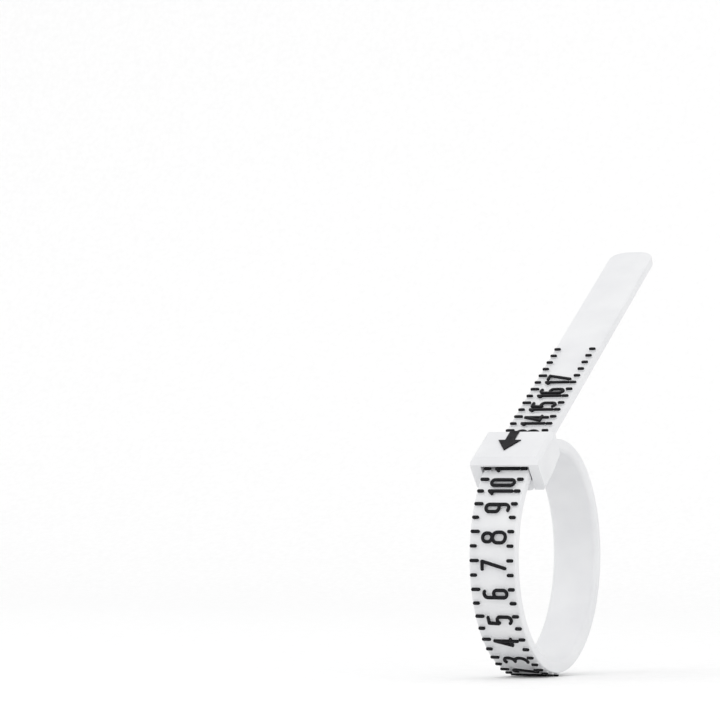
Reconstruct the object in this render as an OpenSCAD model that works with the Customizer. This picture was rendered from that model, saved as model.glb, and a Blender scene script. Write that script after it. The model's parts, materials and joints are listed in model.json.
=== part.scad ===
// Adjustable ring sizer: a thin strap with raised size marks, looped through its own buckle.
// Frame: X is the strap's width, +Z is up, and the origin is the centre of the finger loop.

/* [Finger loop] */
// Inside diameter of the round loop
bore_d = 20.16; // [19.6:0.02:20.6]
// Strap length for one whole ring size
size_pitch = 2.5535; // [2.5:0.0005:2.6]
// Angle of the straight tail above the horizontal
tail_tilt = 34; // [30:1:38]

/* [Strap] */
// Width of the strap
strap_w = 4.7; // [4.6:0.05:4.8]
// Thickness of the strap
strap_t = 1.2; // [1.1:0.05:1.25]
// Radius of the strap's edges on the finger side
edge_r = 0.45; // [0.3:0.05:0.5]
// Bevel of the strap's edges on the printed side
edge_bevel = 0.12; // [0.05:0.01:0.2]
// Length of the straight tail from the tangent point in the buckle to its tip
tail_l = 40.3; // [38:0.1:44]
// Radius of the tip's two corners
tip_r = 1.6; // [1:0.1:2]
// Saw-thin gap between two links of the strap
link_gap = 0.14; // [0.1:0.01:0.18]

/* [Size marks] */
// Height of the raised marks
rib_h = 0.35; // [0.2:0.01:0.36]
// Width of every stroke of the marks
stroke_w = 0.31; // [0.25:0.01:0.36]
// Length of the long tick at a whole size
long_tick = 0.93; // [0.8:0.01:1]
// Length of a short tick
short_tick = 0.7; // [0.6:0.01:0.8]
// Clear edge outside the ticks
tick_margin = 0.14; // [0.1:0.01:0.25]
// Height of a numeral between its stroke centres
digit_h = 2.3; // [2.1:0.05:2.4]
// Width of a numeral between its stroke centres
digit_w = 0.84; // [0.7:0.02:0.9]

/* [Buckle] */
// Width of the buckle
buckle_w = 7; // [6.8:0.1:7.6]
// Height of the buckle's top face above the strap's middle
buckle_top = 1.8; // [1.7:0.05:2]
// Depth of the buckle's lower front edge under the strap's middle
buckle_drop = 1.85; // [1.8:0.05:2]
// Distance from the tangent point forward to the mouth
mouth_reach = 1.9; // [1.8:0.1:2.2]
// Distance from the tangent point back to the buckle's rear face
rear_reach = 3.1; // [2.8:0.1:3.4]
// Bevel of the buckle's outer edges
buckle_bevel = 0.4; // [0.2:0.05:0.5]
// Side clearance of the strap in the slot, on each side
slot_side = 0.1; // [0.08:0.01:0.15]
// Clearance between the raised marks and the lip above them
lip_gap = 0.05; // [0.03:0.01:0.08]
// Clearance between the strap and the floor of the slot
floor_gap = 0.1; // [0.05:0.01:0.12]
// Radius of the fold where the strap's root leaves the buckle, on the strap's middle
fold_r = 1.5; // [1.3:0.1:1.7]
// Clearance round the knuckle where the last link meets the root
knuckle_gap = 0.06; // [0.05:0.01:0.08]

/* [Hidden] */
$fn = 64;
eps = 0.01;
MARKED = 11;                                    // numbered links in the loop
REAR = 8;                                       // blank links behind the loop
LAST_SIZE = 17;                                 // highest numeral
LAST_TICK = 19;                                 // highest tick, with no numeral
tangent_size = MARKED + 0.25;                   // size at the tangent point
loop_r = bore_d / 2 + strap_t / 2;              // radius of the strap's middle
outer_r = loop_r + strap_t / 2;
inner_r = loop_r - strap_t / 2;
size_angle = size_pitch / loop_r * 180 / PI;    // turn of the strap for one size
start_angle = 90 + tail_tilt;                   // polar angle of the tangent point
floor_n = -strap_t / 2 - floor_gap;             // top of the slot's floor
root_n = floor_n - strap_t / 2;                 // middle of the root strap under the slot
knuckle_r = strap_t / 2 - 0.03;                 // a little inside the strap's faces
lip_n = strap_t / 2 + rib_h + lip_gap;          // roof of the slot
fold_n = loop_r + root_n - fold_r;              // height of the fold's centre over the origin
fold_s = sqrt(pow(loop_r - fold_r, 2) - pow(fold_n, 2));
fold_angle = atan2(fold_s, fold_n);             // turn of the fold
rear_start = start_angle + MARKED * size_angle;
rear_angle = (start_angle + 360 - fold_angle - rear_start) / REAR;
gap_angle = link_gap / loop_r * 180 / PI;
tick_x = strap_w / 2 - tick_margin - stroke_w / 2;
digit_x = 0.2;                                  // numerals sit a little towards the short ticks

// The straight slot's own frame: Y runs up the tail and Z stands on the printed face.
module slot_frame() {
    rotate([tail_tilt, 0, 0])
        translate([0, 0, loop_r])
            children();
}

// The printed face's frame at a ring size, on the loop or on the tail.
module at_size(size) {
    if (size >= tangent_size)
        slot_frame() translate([0, (size - tangent_size) * size_pitch, 0]) children();
    else
        rotate([tail_tilt + (tangent_size - size) * size_angle, 0, 0])
            translate([0, 0, loop_r])
                children();
}

// Section of the strap: X across it, Y from the finger side (0) to the printed side.
module strap_section() {
    half = strap_w / 2;
    translate([-half + edge_r, 0]) square([strap_w - 2 * edge_r, edge_r + eps]);
    for (side = [-1, 1]) translate([side * (half - edge_r), edge_r]) circle(edge_r);
    polygon([
        [-half, edge_r],
        [half, edge_r],
        [half, strap_t - edge_bevel],
        [half - edge_bevel, strap_t],
        [-half + edge_bevel, strap_t],
        [-half, strap_t - edge_bevel]]);
}

// A stretch of strap bent about the X axis, from a polar angle on through a sweep.
module bent_strap(from, sweep, mid_r) {
    rotate([0, 90, 0])
        rotate([0, 0, from + 90])
            rotate_extrude(angle = sweep)
                translate([mid_r - strap_t / 2, 0])
                    rotate([0, 0, -90])
                        mirror([1, 0])
                            strap_section();
}

// A straight stretch of strap along Y, with its middle on Z = 0.
module straight_strap(from, length) {
    translate([0, from, -strap_t / 2])
        rotate([90, 0, 180])
            linear_extrude(length)
                strap_section();
}

// One stroke of a mark: a bar with round ends.
module stroke(a, b) {
    run = norm(b - a);
    translate(a) circle(d = stroke_w, $fn = 24);
    translate(b) circle(d = stroke_w, $fn = 24);
    translate(a)
        rotate([0, 0, atan2(b[1] - a[1], b[0] - a[0])])
            translate([0, -stroke_w / 2])
                square([run, stroke_w]);
}

// A closed round stroke.
module hoop(centre, r) {
    translate(centre)
        difference() {
            circle(r + stroke_w / 2, $fn = 32);
            circle(r - stroke_w / 2, $fn = 32);
        }
}

// A bent stroke: an arc with round ends, from one angle counter-clockwise to another.
module bow(centre, r, from, to) {
    steps = max(2, ceil((to - from) / 30));
    reach = 2 * r + 1;
    translate(centre) {
        intersection() {
            hoop([0, 0], r);
            polygon(concat([[0, 0]], [for (i = [0:steps])
                reach * [cos(from + (to - from) * i / steps), sin(from + (to - from) * i / steps)]]));
        }
        for (a = [from, to]) translate(r * [cos(a), sin(a)]) circle(d = stroke_w, $fn = 24);
    }
}

// Numerals on a box of digit_w by digit_h, from their lower left stroke centre.
module digit(n) {
    w = digit_w;
    h = digit_h;
    r = w / 2;
    if (n == 0) {
        bow([r, h - r], r, 0, 180);
        bow([r, r], r, 180, 360);
        stroke([0, r], [0, h - r]);
        stroke([w, r], [w, h - r]);
    }
    if (n == 1) {
        stroke([w, 0], [w, h]);
        stroke([w, h], [w - 0.25, h - 0.3]);
    }
    if (n == 2) {
        bow([r, h - r], r, -30, 165);
        stroke([r + r * cos(30), h - r - r * sin(30)], [0, 0]);
        stroke([0, 0], [w, 0]);
    }
    if (n == 3) {
        bow([r - 0.1, h - 0.52], 0.52, -90, 140);
        bow([r - 0.21, 0.63], 0.63, -140, 90);
    }
    if (n == 4) {
        stroke([w, 0], [w, h]);
        stroke([w, h], [0, 0.65]);
        stroke([0, 0.65], [w + 0.12, 0.65]);
    }
    if (n == 5) {
        stroke([0.05, h], [w - 0.05, h]);
        stroke([0.05, h], [0, h - 1]);
        bow([r - 0.05, r + 0.18], r + 0.08, -150, 120);
    }
    if (n == 6 || n == 9) {
        spin = n == 9 ? 180 : 0;
        translate([r, h / 2]) rotate([0, 0, spin]) translate([-r, -h / 2]) {
            hoop([r, r + 0.1], r + 0.06);
            stroke([-0.06, r + 0.1], [-0.06, h - r - 0.1]);
            bow([r, h - r - 0.1], r + 0.06, 55, 180);
        }
    }
    if (n == 7) {
        stroke([0, h], [w, h]);
        stroke([w, h], [0.2, 0]);
    }
    if (n == 8) {
        hoop([r, h - r - 0.06], r + 0.06);
        hoop([r, r + 0.16], r + 0.16);
    }
}

// Marks stand on the printed face and follow its bend, with their strokes drawn on X and Y.
module raised(size) {
    intersection() {
        at_size(size)
            translate([0, 0, strap_t / 2 - rib_h])
                linear_extrude(3 * rib_h)
                    children();
        if (size >= tangent_size)
            slot_frame()
                translate([-strap_w / 2, 0, strap_t / 2])
                    cube([strap_w, tail_l, rib_h]);
        else
            rotate([0, 90, 0])
                difference() {
                    cylinder(r = outer_r + rib_h, h = strap_w, center = true);
                    cylinder(r = outer_r, h = strap_w + 1, center = true);
                }
    }
}

module tick_pair(size, left_tick) {
    raised(size) stroke([-tick_x, 0], [-tick_x + left_tick - stroke_w, 0]);
    raised(size) stroke([tick_x - short_tick + stroke_w, 0], [tick_x, 0]);
}

// A whole size's ticks and numeral, and the half size's ticks below it.
module size_marks(n) {
    unit = n % 10;
    color("black") {
        tick_pair(n, long_tick);
        tick_pair(n - 0.5, short_tick);
        raised(n - (digit_w / 2 + 0.06) / size_pitch)
            translate([digit_x + digit_h / 2, -digit_w / 2])
                rotate([0, 0, 90])
                    digit(unit);
        if (n >= 10)
            raised(n - 0.5)
                translate([digit_x + digit_h / 2, -digit_w])
                    rotate([0, 0, 90])
                        digit(1);
    }
}

module spare_ticks() {
    color("black")
        for (size = [LAST_SIZE + 0.5 : 0.5 : LAST_TICK])
            tick_pair(size, short_tick);
}

// One numbered link of the loop, a quarter size past its own tick.
module marked_link(n) {
    from = start_angle + (MARKED - n) * size_angle;
    color("white") bent_strap(from + gap_angle / 2, size_angle - gap_angle, loop_r);
}

// A round bar across the strap where the last link folds against the root.
module knuckle() {
    rotate([tail_tilt - fold_angle, 0, 0])
        translate([0, 0, loop_r])
            rotate([0, 90, 0])
                cylinder(r = knuckle_r, h = strap_w - 2 * edge_r, center = true);
}

// One blank link behind the loop, counted from the numbered ones to the buckle.
module rear_link(n) {
    from = rear_start + (n - 1) * rear_angle;
    last = n == REAR;
    color("white") {
        bent_strap(from + gap_angle / 2, rear_angle - (last ? 0.5 : 1) * gap_angle, loop_r);
        if (last) knuckle();
    }
}

// The straight strap through the slot, with its rounded tip.
module strap_tail() {
    flat = strap_w - 2 * tip_r;
    color("white") slot_frame() {
        straight_strap(link_gap / 2, tail_l - tip_r - link_gap / 2);
        intersection() {
            straight_strap(tail_l - tip_r, tip_r);
            translate([0, 0, -strap_t]) linear_extrude(2 * strap_t) {
                translate([-flat / 2, tail_l - tip_r]) square([flat, tip_r]);
                for (side = [-1, 1])
                    translate([side * flat / 2, tail_l - tip_r]) circle(tip_r);
            }
        }
    }
}

// The strap's root: the floor of the slot, and the fold behind the buckle.
module strap_root() {
    mouth_drop = 0.25;
    reach = 2 * fold_r;
    toward_end = [sin(fold_angle), cos(fold_angle)];
    color("white")
        rotate([tail_tilt, 0, 0])
            rotate([90, 0, 90])
                linear_extrude(strap_w, center = true)
                    difference() {
                        union() {
                            translate([0, loop_r])
                                polygon([
                                    [-mouth_reach, floor_n - strap_t],
                                    [fold_s, floor_n - strap_t],
                                    [fold_s, floor_n],
                                    [0, floor_n],
                                    [-mouth_reach, floor_n - mouth_drop]]);
                            translate([fold_s, fold_n])
                                intersection() {
                                    difference() {
                                        circle(fold_r + strap_t / 2);
                                        circle(fold_r - strap_t / 2);
                                    }
                                    polygon([[0, 0], [0, reach], reach * toward_end]);
                                }
                        }
                        translate(loop_r * toward_end)
                            circle(knuckle_r + knuckle_gap);
                    }
}

// Side walls and roof of the buckle, round the slot.
module buckle_frame() {
    half = buckle_w / 2;
    lip_reach = mouth_reach + 0.4;
    wall_rise = 0.85;
    color("white") slot_frame() difference() {
        intersection() {
            rotate([90, 0, 90])
                linear_extrude(buckle_w, center = true)
                    polygon([
                        [-mouth_reach, -buckle_drop],
                        [rear_reach, -buckle_drop + wall_rise],
                        [rear_reach, buckle_top - buckle_bevel],
                        [rear_reach - buckle_bevel, buckle_top],
                        [-lip_reach + 1.5 * buckle_bevel, buckle_top],
                        [-lip_reach, buckle_top - 1.5 * buckle_bevel],
                        [-lip_reach, lip_n - 0.2]]);
            rotate([90, 0, 0])
                linear_extrude(4 * buckle_w, center = true)
                    polygon([
                        [-half + buckle_bevel / 2, -buckle_drop],
                        [half - buckle_bevel / 2, -buckle_drop],
                        [half, -buckle_drop + buckle_bevel],
                        [half, buckle_top - buckle_bevel],
                        [half - buckle_bevel, buckle_top],
                        [-half + buckle_bevel, buckle_top],
                        [-half, buckle_top - buckle_bevel],
                        [-half, -buckle_drop + buckle_bevel]]);
        }
        translate([-strap_w / 2 - slot_side, -buckle_w, floor_n])
            cube([strap_w + 2 * slot_side, 2 * buckle_w, lip_n - floor_n]);
        translate([-strap_w / 2, -buckle_w, -2 * buckle_drop])
            cube([strap_w, 2 * buckle_w, 2 * buckle_drop + floor_n + eps]);
    }
}

// The raised arrow on the roof, which points to the mouth.
module size_arrow() {
    shaft_w = 0.95;
    head_w = 2.35;
    head_l = 1.8;
    tip_s = -0.7;
    shaft_end = rear_reach - buckle_bevel - tip_s;
    color("black")
        slot_frame()
            translate([-0.4, tip_s, buckle_top])
                linear_extrude(0.12)
                    polygon([
                        [0, 0],
                        [head_w / 2, head_l],
                        [shaft_w / 2, head_l],
                        [shaft_w / 2, shaft_end],
                        [-shaft_w / 2, shaft_end],
                        [-shaft_w / 2, head_l],
                        [-head_w / 2, head_l]]);
}

buckle_frame();
size_arrow();
strap_root();
strap_tail();
spare_ticks();
for (n = [1:MARKED]) marked_link(n);
for (n = [1:REAR]) rear_link(n);
for (n = [1:LAST_SIZE]) size_marks(n);
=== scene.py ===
"""Adjustable ring sizer: a smooth strap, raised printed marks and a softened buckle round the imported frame.

Lengths in the constants are millimetres, as in the part's source, and become metres where a mesh is made.
A place on the strap is (u, x, h). u runs along its middle from the tangent point in the buckle, down
round the loop and up to the root, and is negative on the tail. x runs across it, and h out from its
middle to the printed side.
"""

import json
from math import atan2, ceil, cos, hypot, pi, radians, sin, sqrt

import bmesh
import bpy
from mathutils import Matrix, Vector

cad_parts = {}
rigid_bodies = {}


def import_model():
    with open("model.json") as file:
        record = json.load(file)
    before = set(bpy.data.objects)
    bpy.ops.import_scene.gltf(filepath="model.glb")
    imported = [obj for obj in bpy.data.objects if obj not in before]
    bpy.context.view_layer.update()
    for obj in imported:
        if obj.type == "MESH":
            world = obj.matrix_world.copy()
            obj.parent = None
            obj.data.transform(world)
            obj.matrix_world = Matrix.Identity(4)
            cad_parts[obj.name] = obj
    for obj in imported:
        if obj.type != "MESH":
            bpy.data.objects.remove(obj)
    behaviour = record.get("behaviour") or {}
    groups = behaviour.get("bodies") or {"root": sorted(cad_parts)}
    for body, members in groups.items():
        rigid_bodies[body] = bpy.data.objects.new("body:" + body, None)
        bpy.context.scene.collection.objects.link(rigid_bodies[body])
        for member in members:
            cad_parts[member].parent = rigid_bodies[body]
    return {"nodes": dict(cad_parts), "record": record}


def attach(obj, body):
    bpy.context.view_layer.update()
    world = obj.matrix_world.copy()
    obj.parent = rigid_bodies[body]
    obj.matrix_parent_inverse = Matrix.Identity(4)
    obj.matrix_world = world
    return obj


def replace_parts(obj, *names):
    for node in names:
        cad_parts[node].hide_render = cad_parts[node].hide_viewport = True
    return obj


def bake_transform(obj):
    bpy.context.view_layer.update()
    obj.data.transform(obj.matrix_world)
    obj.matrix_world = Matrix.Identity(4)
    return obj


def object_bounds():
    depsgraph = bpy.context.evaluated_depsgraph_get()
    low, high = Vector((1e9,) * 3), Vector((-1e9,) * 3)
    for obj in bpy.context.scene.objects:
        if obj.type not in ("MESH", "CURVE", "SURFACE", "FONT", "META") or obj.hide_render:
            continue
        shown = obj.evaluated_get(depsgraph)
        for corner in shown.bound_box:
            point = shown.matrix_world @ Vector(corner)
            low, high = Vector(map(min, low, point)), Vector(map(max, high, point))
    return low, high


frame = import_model()
cad_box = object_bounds()

MM = 0.001

# The strap
BORE_D = 20.16
PITCH = 2.5535                 # strap length for one size
TILT = radians(34)
STRAP_W = 4.7
STRAP_T = 1.2
HALF_T = STRAP_T / 2
INNER_EDGE = 0.45              # edge radius on the finger side
OUTER_EDGE = 0.14              # edge radius on the printed side
EDGE_SUPPORT = 0.05            # distance of the support points beside a rounded edge
TAIL_L = 40.3
TIP_R = 1.6
TIP_EDGE = 0.28
TIP_STEPS, TIP_EDGE_STEPS = 12, 6
TAIL_STEP = 1.2                # distance between rings of the straight tail
MARKED, REAR = 11, 8
LAST_SIZE, LAST_TICK = 17, 19
TANGENT_SIZE = MARKED + 0.25
LOOP_R = BORE_D / 2 + HALF_T

# The buckle's slot and the fold behind it
FLOOR_GAP = 0.1
FOLD_R = 1.5
MOUTH_REACH = 1.9
FOLD_SKIN = 2.4                # twice the length of the last bent skin past the end of the loop
BUCKLE_EDGE, ARROW_EDGE = 0.26, 0.03
ROOT_N = -HALF_T - FLOOR_GAP - HALF_T
FOLD_N = LOOP_R + ROOT_N - FOLD_R
FOLD_S = sqrt((LOOP_R - FOLD_R) ** 2 - FOLD_N ** 2)
FOLD_ANGLE = atan2(FOLD_S, FOLD_N)

# The marks
RIB_H = 0.35
RIB_SINK = 0.06
STROKE_W = 0.31
LONG_TICK, SHORT_TICK = 0.93, 0.7
TICK_X = STRAP_W / 2 - OUTER_EDGE - STROKE_W / 2
DIGIT_H, DIGIT_W, DIGIT_X = 2.3, 0.68, 0.2
DIGIT_DROP = 0.06              # clearance of a size's last numeral below its tick
LAYER_DROP = 0.003             # keeps the tops of crossing strokes apart

START_ANGLE = pi / 2 + TILT
LOOP_TURN = 2 * pi - FOLD_ANGLE
U_END = LOOP_R * LOOP_TURN
U_FOLD = U_END + FOLD_R * FOLD_ANGLE
U_MOUTH = U_FOLD + FOLD_S + MOUTH_REACH
REAR_PITCH = (U_END - MARKED * PITCH) / REAR
RING_STEP = 0.16               # distance between rings of a bent skin


# ---------------------------------------------------------------- the strap's path
def tilted(s, n):
    """A place in the slot's frame, s up the tail and n from the origin, as (y, z)."""
    return s * cos(TILT) - n * sin(TILT), s * sin(TILT) + n * cos(TILT)


def middle(u):
    """The strap's middle line at u: (y, z) and its outward normal (ny, nz)."""
    if 0 <= u <= U_END:
        a = START_ANGLE + u / LOOP_R
        return (LOOP_R * cos(a), LOOP_R * sin(a)), (cos(a), sin(a))
    if U_END < u < U_FOLD:
        a = pi / 2 - FOLD_ANGLE + (u - U_END) / FOLD_R
        spot = tilted(FOLD_S + FOLD_R * cos(a), FOLD_N + FOLD_R * sin(a))
        return spot, (cos(a + TILT), sin(a + TILT))
    up = (-sin(TILT), cos(TILT))
    if u < 0:
        return tilted(-u, LOOP_R), up
    return tilted(FOLD_S - (u - U_FOLD), LOOP_R + ROOT_N), up


def place(u, x=0.0, h=0.0):
    """A place on the strap in the row frame, in metres."""
    (y, z), (ny, nz) = middle(u)
    return Vector((x, y + h * ny, z + h * nz)) * MM


# ---------------------------------------------------------------- materials
class Nodes:
    """A short way to write a node tree."""

    def __init__(self, name):
        self.material = bpy.data.materials.new(name)
        self.material.use_nodes = True
        self.tree = self.material.node_tree
        self.shader = self.tree.nodes["Principled BSDF"]
        self.coords = self.add("ShaderNodeTexCoord").outputs["Object"]

    def add(self, kind, **values):
        node = self.tree.nodes.new(kind)
        for key, value in values.items():
            if hasattr(node, key):
                setattr(node, key, value)
            else:
                node.inputs[key.replace("_", " ")].default_value = value
        return node

    def link(self, a, b):
        self.tree.links.new(a, b)

    def noise(self, scale, detail=3.0, stretch=(1, 1, 1)):
        mapping = self.add("ShaderNodeMapping")
        mapping.inputs["Scale"].default_value = stretch
        self.link(self.coords, mapping.inputs["Vector"])
        node = self.add("ShaderNodeTexNoise", Scale=scale, Detail=detail)
        self.link(mapping.outputs["Vector"], node.inputs["Vector"])
        return node.outputs["Fac"]

    def ramp(self, factor, stops):
        node = self.add("ShaderNodeValToRGB")
        elements = node.color_ramp.elements
        while len(elements) < len(stops):
            elements.new(0.5)
        for element, (at, colour) in zip(elements, stops):
            element.position = at
            element.color = (*colour, 1)
        self.link(factor, node.inputs["Fac"])
        return node.outputs["Color"]

    def spread(self, factor, low, high):
        node = self.add("ShaderNodeMapRange", To_Min=low, To_Max=high)
        node.inputs["From Min"].default_value = 0.3
        node.inputs["From Max"].default_value = 0.7
        self.link(factor, node.inputs["Value"])
        return node.outputs["Result"]

    def bump(self, layers):
        """Bump layers, each (height, strength, distance in metres), one on another."""
        normal = None
        for height, strength, distance in layers:
            node = self.add("ShaderNodeBump", Strength=strength, Distance=distance)
            self.link(height, node.inputs["Height"])
            if normal is not None:
                self.link(normal, node.inputs["Normal"])
            normal = node.outputs["Normal"]
        self.link(normal, self.shader.inputs["Normal"])


def plastic_material():
    """Satin moulded plastic: clouded white with a fine grain and faint flow waves."""
    n = Nodes("white_polypropylene")
    cloud = n.noise(260, 4)
    grain = n.noise(11000, 4)
    flow = n.noise(420, 2, (0.35, 1, 1))
    white = n.ramp(cloud, [(0.32, (0.715, 0.72, 0.735)), (0.68, (0.76, 0.765, 0.775))])
    n.link(white, n.shader.inputs["Base Color"])
    n.link(n.spread(grain, 0.36, 0.52), n.shader.inputs["Roughness"])
    n.shader.inputs["IOR"].default_value = 1.49
    n.bump([(flow, 0.22, 0.00003), (grain, 0.25, 0.000006)])
    return n.material


def ink_material():
    """Black ink on the ribs, with worn specks and a slightly broken gloss."""
    n = Nodes("black_ink")
    speck = n.noise(16000, 5)
    patch = n.noise(1900, 3)
    black = n.ramp(speck, [(0.28, (0.007, 0.007, 0.008)), (0.62, (0.013, 0.013, 0.015)),
                           (0.8, (0.05, 0.05, 0.055))])
    n.link(black, n.shader.inputs["Base Color"])
    n.link(n.spread(patch, 0.34, 0.58), n.shader.inputs["Roughness"])
    n.shader.inputs["Specular IOR Level"].default_value = 0.1
    n.bump([(patch, 0.3, 0.00001), (speck, 0.3, 0.000005)])
    return n.material


def stage_material():
    """Matt white paper with a faint fibre."""
    n = Nodes("studio_paper")
    fibre = n.noise(900, 4)
    paper = n.ramp(fibre, [(0.3, (0.90, 0.90, 0.90)), (0.7, (0.93, 0.93, 0.93))])
    n.link(paper, n.shader.inputs["Base Color"])
    n.shader.inputs["Roughness"].default_value = 0.9
    n.shader.inputs["Specular IOR Level"].default_value = 0.1
    return n.material


PLASTIC = plastic_material()
INK = ink_material()


# ---------------------------------------------------------------- meshes
def piece(name, bm, *materials, smooth=True):
    """A finished mesh as a scene object, with the given materials in order."""
    bmesh.ops.recalc_face_normals(bm, faces=bm.faces)
    mesh = bpy.data.meshes.new(name)
    for face in bm.faces:
        face.smooth = smooth
    bm.to_mesh(mesh)
    bm.free()
    for material in materials:
        mesh.materials.append(material)
    obj = bpy.data.objects.new(name, mesh)
    bpy.context.scene.collection.objects.link(obj)
    return obj


def arc(cx, cy, r, start, end, step=15.0):
    """Points on an arc, in degrees, in either direction."""
    count = max(2, ceil(abs(end - start) / step))
    angles = [radians(start + (end - start) * i / count) for i in range(count + 1)]
    return [(cx + r * cos(a), cy + r * sin(a)) for a in angles]


def strap_ring(half_w=STRAP_W / 2, half_t=HALF_T):
    """One section of the strap as (x, h), with a support point beside each rounded edge."""
    inner = min(INNER_EDGE, 1.5 * half_t, 0.6 * half_w)
    outer = min(OUTER_EDGE, 0.4 * half_t)
    beside = EDGE_SUPPORT
    w, t = half_w, half_t
    ring = [(-w + inner + beside, -t), (w - inner - beside, -t)]
    ring += arc(w - inner, -t + inner, inner, -90, 0, 11)
    ring += [(w, t - outer - beside)]
    ring += arc(w - outer, t - outer, outer, 0, 90, 18)
    ring += [(w - outer - beside, t), (-w + outer + beside, t)]
    ring += arc(-w + outer, t - outer, outer, 90, 180, 18)
    ring += [(-w, t - outer - beside)]
    ring += arc(-w + inner, -t + inner, inner, 180, 270, 11)
    return ring


def add_rings(bm, rings, material=0):
    """Joins rings of points into a closed tube with flat ends."""
    loops = [[bm.verts.new(p) for p in ring] for ring in rings]
    count = len(loops[0])
    for a, b in zip(loops, loops[1:]):
        for i in range(count):
            j = (i + 1) % count
            bm.faces.new((a[i], a[j], b[j], b[i])).material_index = material
    for loop in (loops[0], loops[-1]):
        face = bm.faces.new(loop)
        face.material_index = material
        for edge in face.edges:
            edge.smooth = False


def steps(start, end, step):
    """Even places from start to end, no more than a step apart."""
    count = max(1, ceil(abs(end - start) / step))
    return [start + (end - start) * i / count for i in range(count + 1)]


def strap_skin(name, start, end):
    bm = bmesh.new()
    add_rings(bm, [[place(u, x, h) for x, h in strap_ring()] for u in steps(start, end, RING_STEP)])
    return piece(name, bm, PLASTIC)


def tail_skin(name, start):
    """The tail's straight strap and its rounded tip."""
    bm = bmesh.new()
    rings = [[place(-s, x, h) for x, h in strap_ring()] for s in steps(start, TAIL_L - TIP_R, TAIL_STEP)]
    flat = STRAP_W / 2 - TIP_R
    side = TIP_R - TIP_EDGE
    tip_from = TAIL_L - TIP_R
    for k in range(1, TIP_STEPS + 1):
        a = radians(90 * k / TIP_STEPS)
        w = flat + TIP_EDGE + side * cos(a)
        s = tip_from + side * sin(a)
        rings.append([place(-s, x, h) for x, h in strap_ring(w, HALF_T)])
    for k in range(1, TIP_EDGE_STEPS + 1):
        a = radians(90 * k / TIP_EDGE_STEPS)
        w = flat + TIP_EDGE * cos(a)
        t = HALF_T - TIP_EDGE * (1 - cos(a))
        s = tip_from + side + TIP_EDGE * sin(a)
        rings.append([place(-s, x, h) for x, h in strap_ring(w, t)])
    add_rings(bm, rings)
    return piece(name, bm, PLASTIC)


def softened(node, name, width, material, segments=3):
    """A copy of a flat-sided CAD node with its edges rounded."""
    obj = frame["nodes"][node]
    bm = bmesh.new()
    bm.from_mesh(obj.data)
    bm.transform(obj.matrix_world)
    bmesh.ops.remove_doubles(bm, verts=bm.verts, dist=1e-7)
    bmesh.ops.dissolve_limit(bm, angle_limit=radians(1), verts=bm.verts, edges=bm.edges)
    sharp = [e for e in bm.edges if len(e.link_faces) == 2 and e.calc_face_angle(0) > radians(12)]
    bmesh.ops.bevel(bm, geom=sharp, offset=width * MM, offset_type="OFFSET", segments=segments,
                    profile=0.5, affect="EDGES", clamp_overlap=True)
    made = piece(name, bm, material)
    made.modifiers.new("even_shading", "WEIGHTED_NORMAL").keep_sharp = True
    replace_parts(made, node)
    return made


# ---------------------------------------------------------------- raised marks
RIB_LEVELS = [(0.0, -RIB_SINK), (0.0, 0.15), (0.0, RIB_H - 0.09), (0.02, RIB_H - 0.035), (0.07, RIB_H)]
WHITE_LEVELS = 1               # the lowest band of a rib's wall carries no ink
CAP_STEPS = 8


def normals(points, closed):
    """Unit normals to the left of a path of points."""
    out = []
    count = len(points)
    for i, p in enumerate(points):
        a = points[i - 1] if i or closed else p
        b = points[(i + 1) % count] if i < count - 1 or closed else p
        dx, dy = b[0] - a[0], b[1] - a[1]
        size = hypot(dx, dy)
        out.append((-dy / size, dx / size))
    return out


def outline(points, offset):
    """The edge of an open stroke with round ends, counter-clockwise."""
    side = normals(points, False)
    out = [(p[0] - offset * n[0], p[1] - offset * n[1]) for p, n in zip(points, side)]
    for end, n, turn in ((points[-1], side[-1], 0), (points[0], side[0], pi)):
        base = atan2(-n[1], -n[0]) + turn
        cap = [base + pi * k / CAP_STEPS for k in range(1, CAP_STEPS)]
        out += [(end[0] + offset * cos(a), end[1] + offset * sin(a)) for a in cap]
        if turn == 0:
            left = [(p[0] + offset * m[0], p[1] + offset * m[1]) for p, m in zip(points, side)]
            out += left[::-1]
    return out


def add_open_stroke(bm, points, put, drop):
    half = STROKE_W / 2
    rings = []
    for inset, height in RIB_LEVELS:
        top = height - (drop if height > 0 else 0)
        rings.append([bm.verts.new(put(x, y, top)) for x, y in outline(points, half - inset)])
    count = len(rings[0])
    for level, (a, b) in enumerate(zip(rings, rings[1:])):
        for i in range(count):
            j = (i + 1) % count
            face = bm.faces.new((a[i], a[j], b[j], b[i]))
            face.material_index = 1 if level < WHITE_LEVELS else 0
    n = len(points)
    for ring, index in ((rings[0], 1), (rings[-1], 0)):
        right, end_cap = ring[:n], ring[n:n + CAP_STEPS - 1]
        left, start_cap = ring[n + CAP_STEPS - 1:2 * n + CAP_STEPS - 1][::-1], ring[2 * n + CAP_STEPS - 1:]
        for i in range(n - 1):
            bm.faces.new((right[i], right[i + 1], left[i + 1], left[i])).material_index = index
        for cap in ([right[-1]] + end_cap + [left[-1]], [left[0]] + start_cap + [right[0]]):
            bm.faces.new(cap).material_index = index


def add_closed_stroke(bm, points, put, drop):
    side = normals(points, True)
    half = STROKE_W / 2
    levels = [(inset - half, height) for inset, height in RIB_LEVELS]
    profile = levels + [(-offset, height) for offset, height in levels[::-1]]
    rows = []
    for p, n in zip(points, side):
        rows.append([bm.verts.new(put(p[0] + o * n[0], p[1] + o * n[1], h - (drop if h > 0 else 0)))
                     for o, h in profile])
    last = len(profile) - 1
    for a, b in zip(rows, rows[1:] + rows[:1]):
        for i in range(last):
            face = bm.faces.new((a[i], a[i + 1], b[i + 1], b[i]))
            face.material_index = 1 if i < WHITE_LEVELS or i >= last - WHITE_LEVELS else 0
        bm.faces.new((a[last], a[0], b[0], b[last])).material_index = 1


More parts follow.
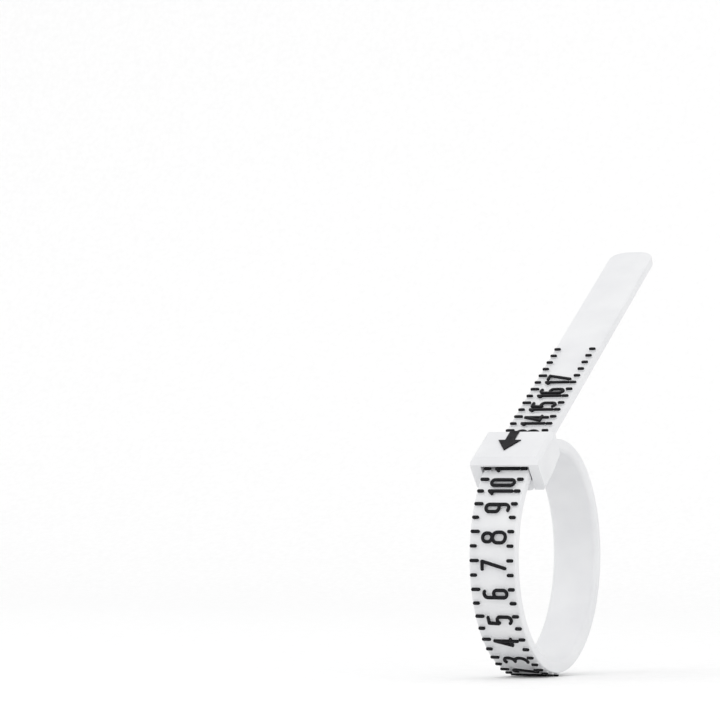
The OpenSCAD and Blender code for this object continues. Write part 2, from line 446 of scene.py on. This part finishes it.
def oblong(x, y, width, height):
    """A closed round-ended ring, from its lower left corner."""
    r = width / 2
    return arc(x + r, y + height - r, r, 0, 180) + arc(x + r, y + r, r, 180, 360), True


def digit_strokes(n):
    """A numeral's strokes on a box of DIGIT_W by DIGIT_H: (points, closed)."""
    w, h = DIGIT_W, DIGIT_H
    r = w / 2
    if n == 0:
        return [oblong(w - 0.6, 0, 0.6, h)]
    if n == 1:
        return [([(w, 0), (w, h)], False), ([(w, h), (w - 0.25, h - 0.3)], False)]
    if n == 2:
        curl = arc(r, h - r, r, 165, -30)
        return [(curl, False), ([curl[-1], (0, 0)], False), ([(0, 0), (w, 0)], False)]
    if n == 3:
        upper, lower = 0.52, 0.63
        return [(arc(w - upper, h - upper, upper, -90, 118), False),
                (arc(w - lower, lower, lower, -100, 90), False)]
    if n == 4:
        stem, bar = 0.56, 0.65
        return [([(stem, 0), (stem, h)], False), ([(stem, h), (0, bar)], False),
                ([(0, bar), (w + 0.12, bar)], False)]
    if n == 5:
        bowl_h, flag = 1.43, (0.04, h)
        bowl = arc(r, bowl_h - r, r, 150, 0) + arc(r, r, r, 0, -150)
        return [([(w - 0.06, h), flag], False), ([flag, (0, h - 0.95)], False), (bowl, False)]
    if n in (6, 9):
        ring_h, hook_r = 1.33, r + 0.02
        hook = [(0, r)] + arc(hook_r, h - hook_r, hook_r, 180, 55)
        strokes = [oblong(0, 0, w, ring_h), (hook, False)]
        if n == 9:
            strokes = [([(w - x, h - y) for x, y in points], closed) for points, closed in strokes]
        return strokes
    if n == 7:
        return [([(0, h), (w, h)], False), ([(w, h), (0.06, 0)], False)]
    return [oblong(w - 0.93, 0, 0.93, 1.3), oblong(w - 0.845, 1.36, 0.76, 0.94)]


def add_strokes(bm, size, strokes):
    """Raised strokes, given on (x, y) with y up the tail from the size's own tick."""
    u_size = (TANGENT_SIZE - size) * PITCH

    def put(x, y, height):
        return place(u_size - y, x, HALF_T + height)

    for k, (points, closed) in enumerate(strokes):
        add = add_closed_stroke if closed else add_open_stroke
        add(bm, points, put, k * LAYER_DROP)


def ticks(left):
    """The two ticks at a size, the left one of the given length."""
    right_from = TICK_X - SHORT_TICK + STROKE_W
    return [([(-TICK_X, 0), (-TICK_X + left - STROKE_W, 0)], False), ([(right_from, 0), (TICK_X, 0)], False)]


def numeral(n, rise):
    """A numeral turned to read up the strap, its lower left corner rise above the size's tick."""
    return [([(DIGIT_X + DIGIT_H / 2 - y, rise + x) for x, y in points], closed)
            for points, closed in digit_strokes(n)]


def size_marks(n):
    bm = bmesh.new()
    add_strokes(bm, n, ticks(LONG_TICK))
    add_strokes(bm, n - 0.5, ticks(SHORT_TICK))
    add_strokes(bm, n, numeral(n % 10, -DIGIT_W - DIGIT_DROP))
    if n >= 10:
        add_strokes(bm, n - 0.5, numeral(1, -DIGIT_W))
    return piece(f"print_{n:02d}", bm, INK, PLASTIC)


def spare_ticks():
    bm = bmesh.new()
    for k in range(1, 2 * (LAST_TICK - LAST_SIZE) + 1):
        add_strokes(bm, LAST_SIZE + k / 2, ticks(SHORT_TICK))
    return piece("print_spare", bm, INK, PLASTIC)


# ---------------------------------------------------------------- the object
bodies = frame["record"]["behaviour"]["bodies"]
body_of = {node: body for body, nodes in bodies.items() for node in nodes}
joined = {frozenset((j["parent"], j["child"])) for j in frame["record"]["behaviour"]["joints"]}

# The strap's nodes in order down from the tail, each with its start, and the root at the end.
links = [(f"link_{MARKED - k}", k * PITCH) for k in range(MARKED)]
links += [(f"rear_link_{k + 1}", MARKED * PITCH + k * REAR_PITCH) for k in range(REAR)]
stations = [("strap_tail", -PITCH)] + links + [("strap_root", U_END)]
ends = [start for _, start in stations[1:]] + [U_END + FOLD_SKIN]
centres = [(start + end) / 2 for (_, start), end in zip(stations, ends)]

for k, ((before, _), (after, border)) in enumerate(zip(stations, stations[1:])):
    a, b = body_of[before], body_of[after]
    start, end = centres[k], centres[k + 1]
    name = f"strap_{k + 1:02d}"
    if a == b:
        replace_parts(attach(strap_skin(name, start, end), a), after)
    elif frozenset((a, b)) in joined:
        skin = strap_skin(name, start, end)
        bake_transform(skin)
        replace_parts(skin, after)
    else:
        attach(strap_skin(name + "_a", start, border), a)
        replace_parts(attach(strap_skin(name + "_b", border, end), b), after)

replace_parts(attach(tail_skin("strap_tail_skin", PITCH / 2), "tail"), "strap_tail")
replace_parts(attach(strap_skin("strap_root_skin", centres[-1], U_MOUTH), "buckle"), "strap_root")

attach(softened("buckle_frame", "buckle_shell", BUCKLE_EDGE, PLASTIC), "buckle")
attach(softened("size_arrow", "arrow", ARROW_EDGE, INK, 2), "buckle")
for n in range(1, LAST_SIZE + 1):
    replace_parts(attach(size_marks(n), body_of[f"marks_{n}"]), f"marks_{n}")
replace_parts(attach(spare_ticks(), "tail"), "spare_ticks")


# ---------------------------------------------------------------- stage, light and camera
def backdrop():
    """A pale floor that sweeps up into a wall behind the object."""
    floor_z = cad_box[0].z
    near, far, half_width, sweep_r, wall = -0.6, 0.25, 1.2, 0.15, 0.9
    profile = [(near, floor_z), (far, floor_z)]
    profile += [(far + sweep_r * sin(a), floor_z + sweep_r * (1 - cos(a)))
                for a in (radians(9 * k) for k in range(1, 11))]
    profile += [(far + sweep_r, floor_z + wall)]
    bm = bmesh.new()
    rows = [[bm.verts.new((side * half_width, y, z)) for side in (-1, 1)] for y, z in profile]
    for (a, b), (c, d) in zip(rows, rows[1:]):
        bm.faces.new((a, b, d, c))
    mesh = bpy.data.meshes.new("backdrop")
    for face in bm.faces:
        face.smooth = True
    bm.to_mesh(mesh)
    bm.free()
    mesh.materials.append(stage_material())
    obj = bpy.data.objects.new("backdrop", mesh)
    bpy.context.scene.collection.objects.link(obj)


def area_light(name, spot, size, power):
    """A square light aimed at the origin: its place and side in metres, and its power in watts."""
    data = bpy.data.lights.new(name, "AREA")
    data.shape = "SQUARE"
    data.size = size
    data.energy = power
    obj = bpy.data.objects.new(name, data)
    obj.location = spot
    obj.rotation_euler = (-Vector(spot)).to_track_quat("-Z", "Y").to_euler()
    bpy.context.scene.collection.objects.link(obj)


def camera():
    """The photograph's view: from in front, a little to the right, aimed above and left of the loop."""
    azimuth, elevation, distance = radians(21.795), radians(0.385), 305.165 * MM
    yaw, pitch, roll = radians(3.249), radians(-3.541), radians(0.437)
    data = bpy.data.cameras.new("camera")
    data.sensor_width = 36
    data.lens = 156.88
    data.clip_start, data.clip_end = 0.01, 10

    def backward(a, e):
        return Vector((sin(a) * cos(e), -cos(a) * cos(e), sin(e)))

    back = backward(azimuth + yaw, elevation + pitch)
    right = Vector((cos(azimuth + yaw), sin(azimuth + yaw), 0))
    up = back.cross(right)
    turned_right = cos(roll) * right + sin(roll) * up
    turned_up = cos(roll) * up - sin(roll) * right
    obj = bpy.data.objects.new("camera", data)
    rotation = Matrix((turned_right, turned_up, back)).transposed()
    obj.matrix_world = Matrix.Translation(backward(azimuth, elevation) * distance) @ rotation.to_4x4()
    bpy.context.scene.collection.objects.link(obj)
    bpy.context.scene.camera = obj


backdrop()
area_light("key", (-0.25, -0.35, 0.45), 0.35, 0.35)
area_light("side", (0.5, -0.2, 0.15), 0.4, 0.25)
area_light("front", (0.05, -0.5, 0.05), 0.5, 0.05)
world = bpy.data.worlds.new("studio")
world.use_nodes = True
world.node_tree.nodes["Background"].inputs["Color"].default_value = (1, 1, 1, 1)
world.node_tree.nodes["Background"].inputs["Strength"].default_value = 1.05
bpy.context.scene.world = world
bpy.context.scene.view_settings.view_transform = "Standard"
camera()
